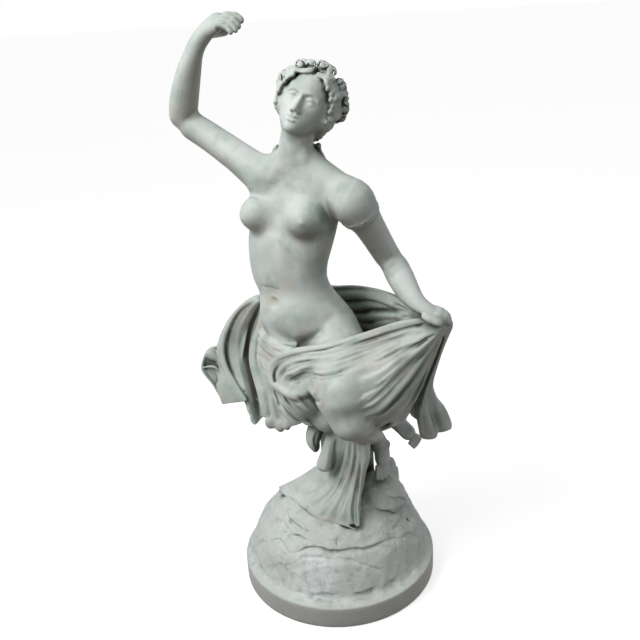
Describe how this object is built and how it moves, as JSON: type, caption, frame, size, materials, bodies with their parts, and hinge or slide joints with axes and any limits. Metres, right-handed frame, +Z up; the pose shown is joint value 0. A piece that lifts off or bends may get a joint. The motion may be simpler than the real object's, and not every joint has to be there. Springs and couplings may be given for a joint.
{
  "type": "parian figure",
  "caption": "Unglazed porcelain statuette of a dancing woman holding out her drapery, on a rocky mound and round plinth.",
  "frame": {"origin": "centre of the round plinth's underside", "axes": "+Z up through the figure, -Y towards the viewer it faces, +X to that viewer's right"},
  "size_m": [0.2496, 0.2, 0.5587],
  "materials": {
    "parian": "matte unglazed bisque with soft grey-green toning and brown grime in the hollows"
  },
  "bodies": {
    "root": {"parian_figure": "parian"}
  },
  "joints": []
}
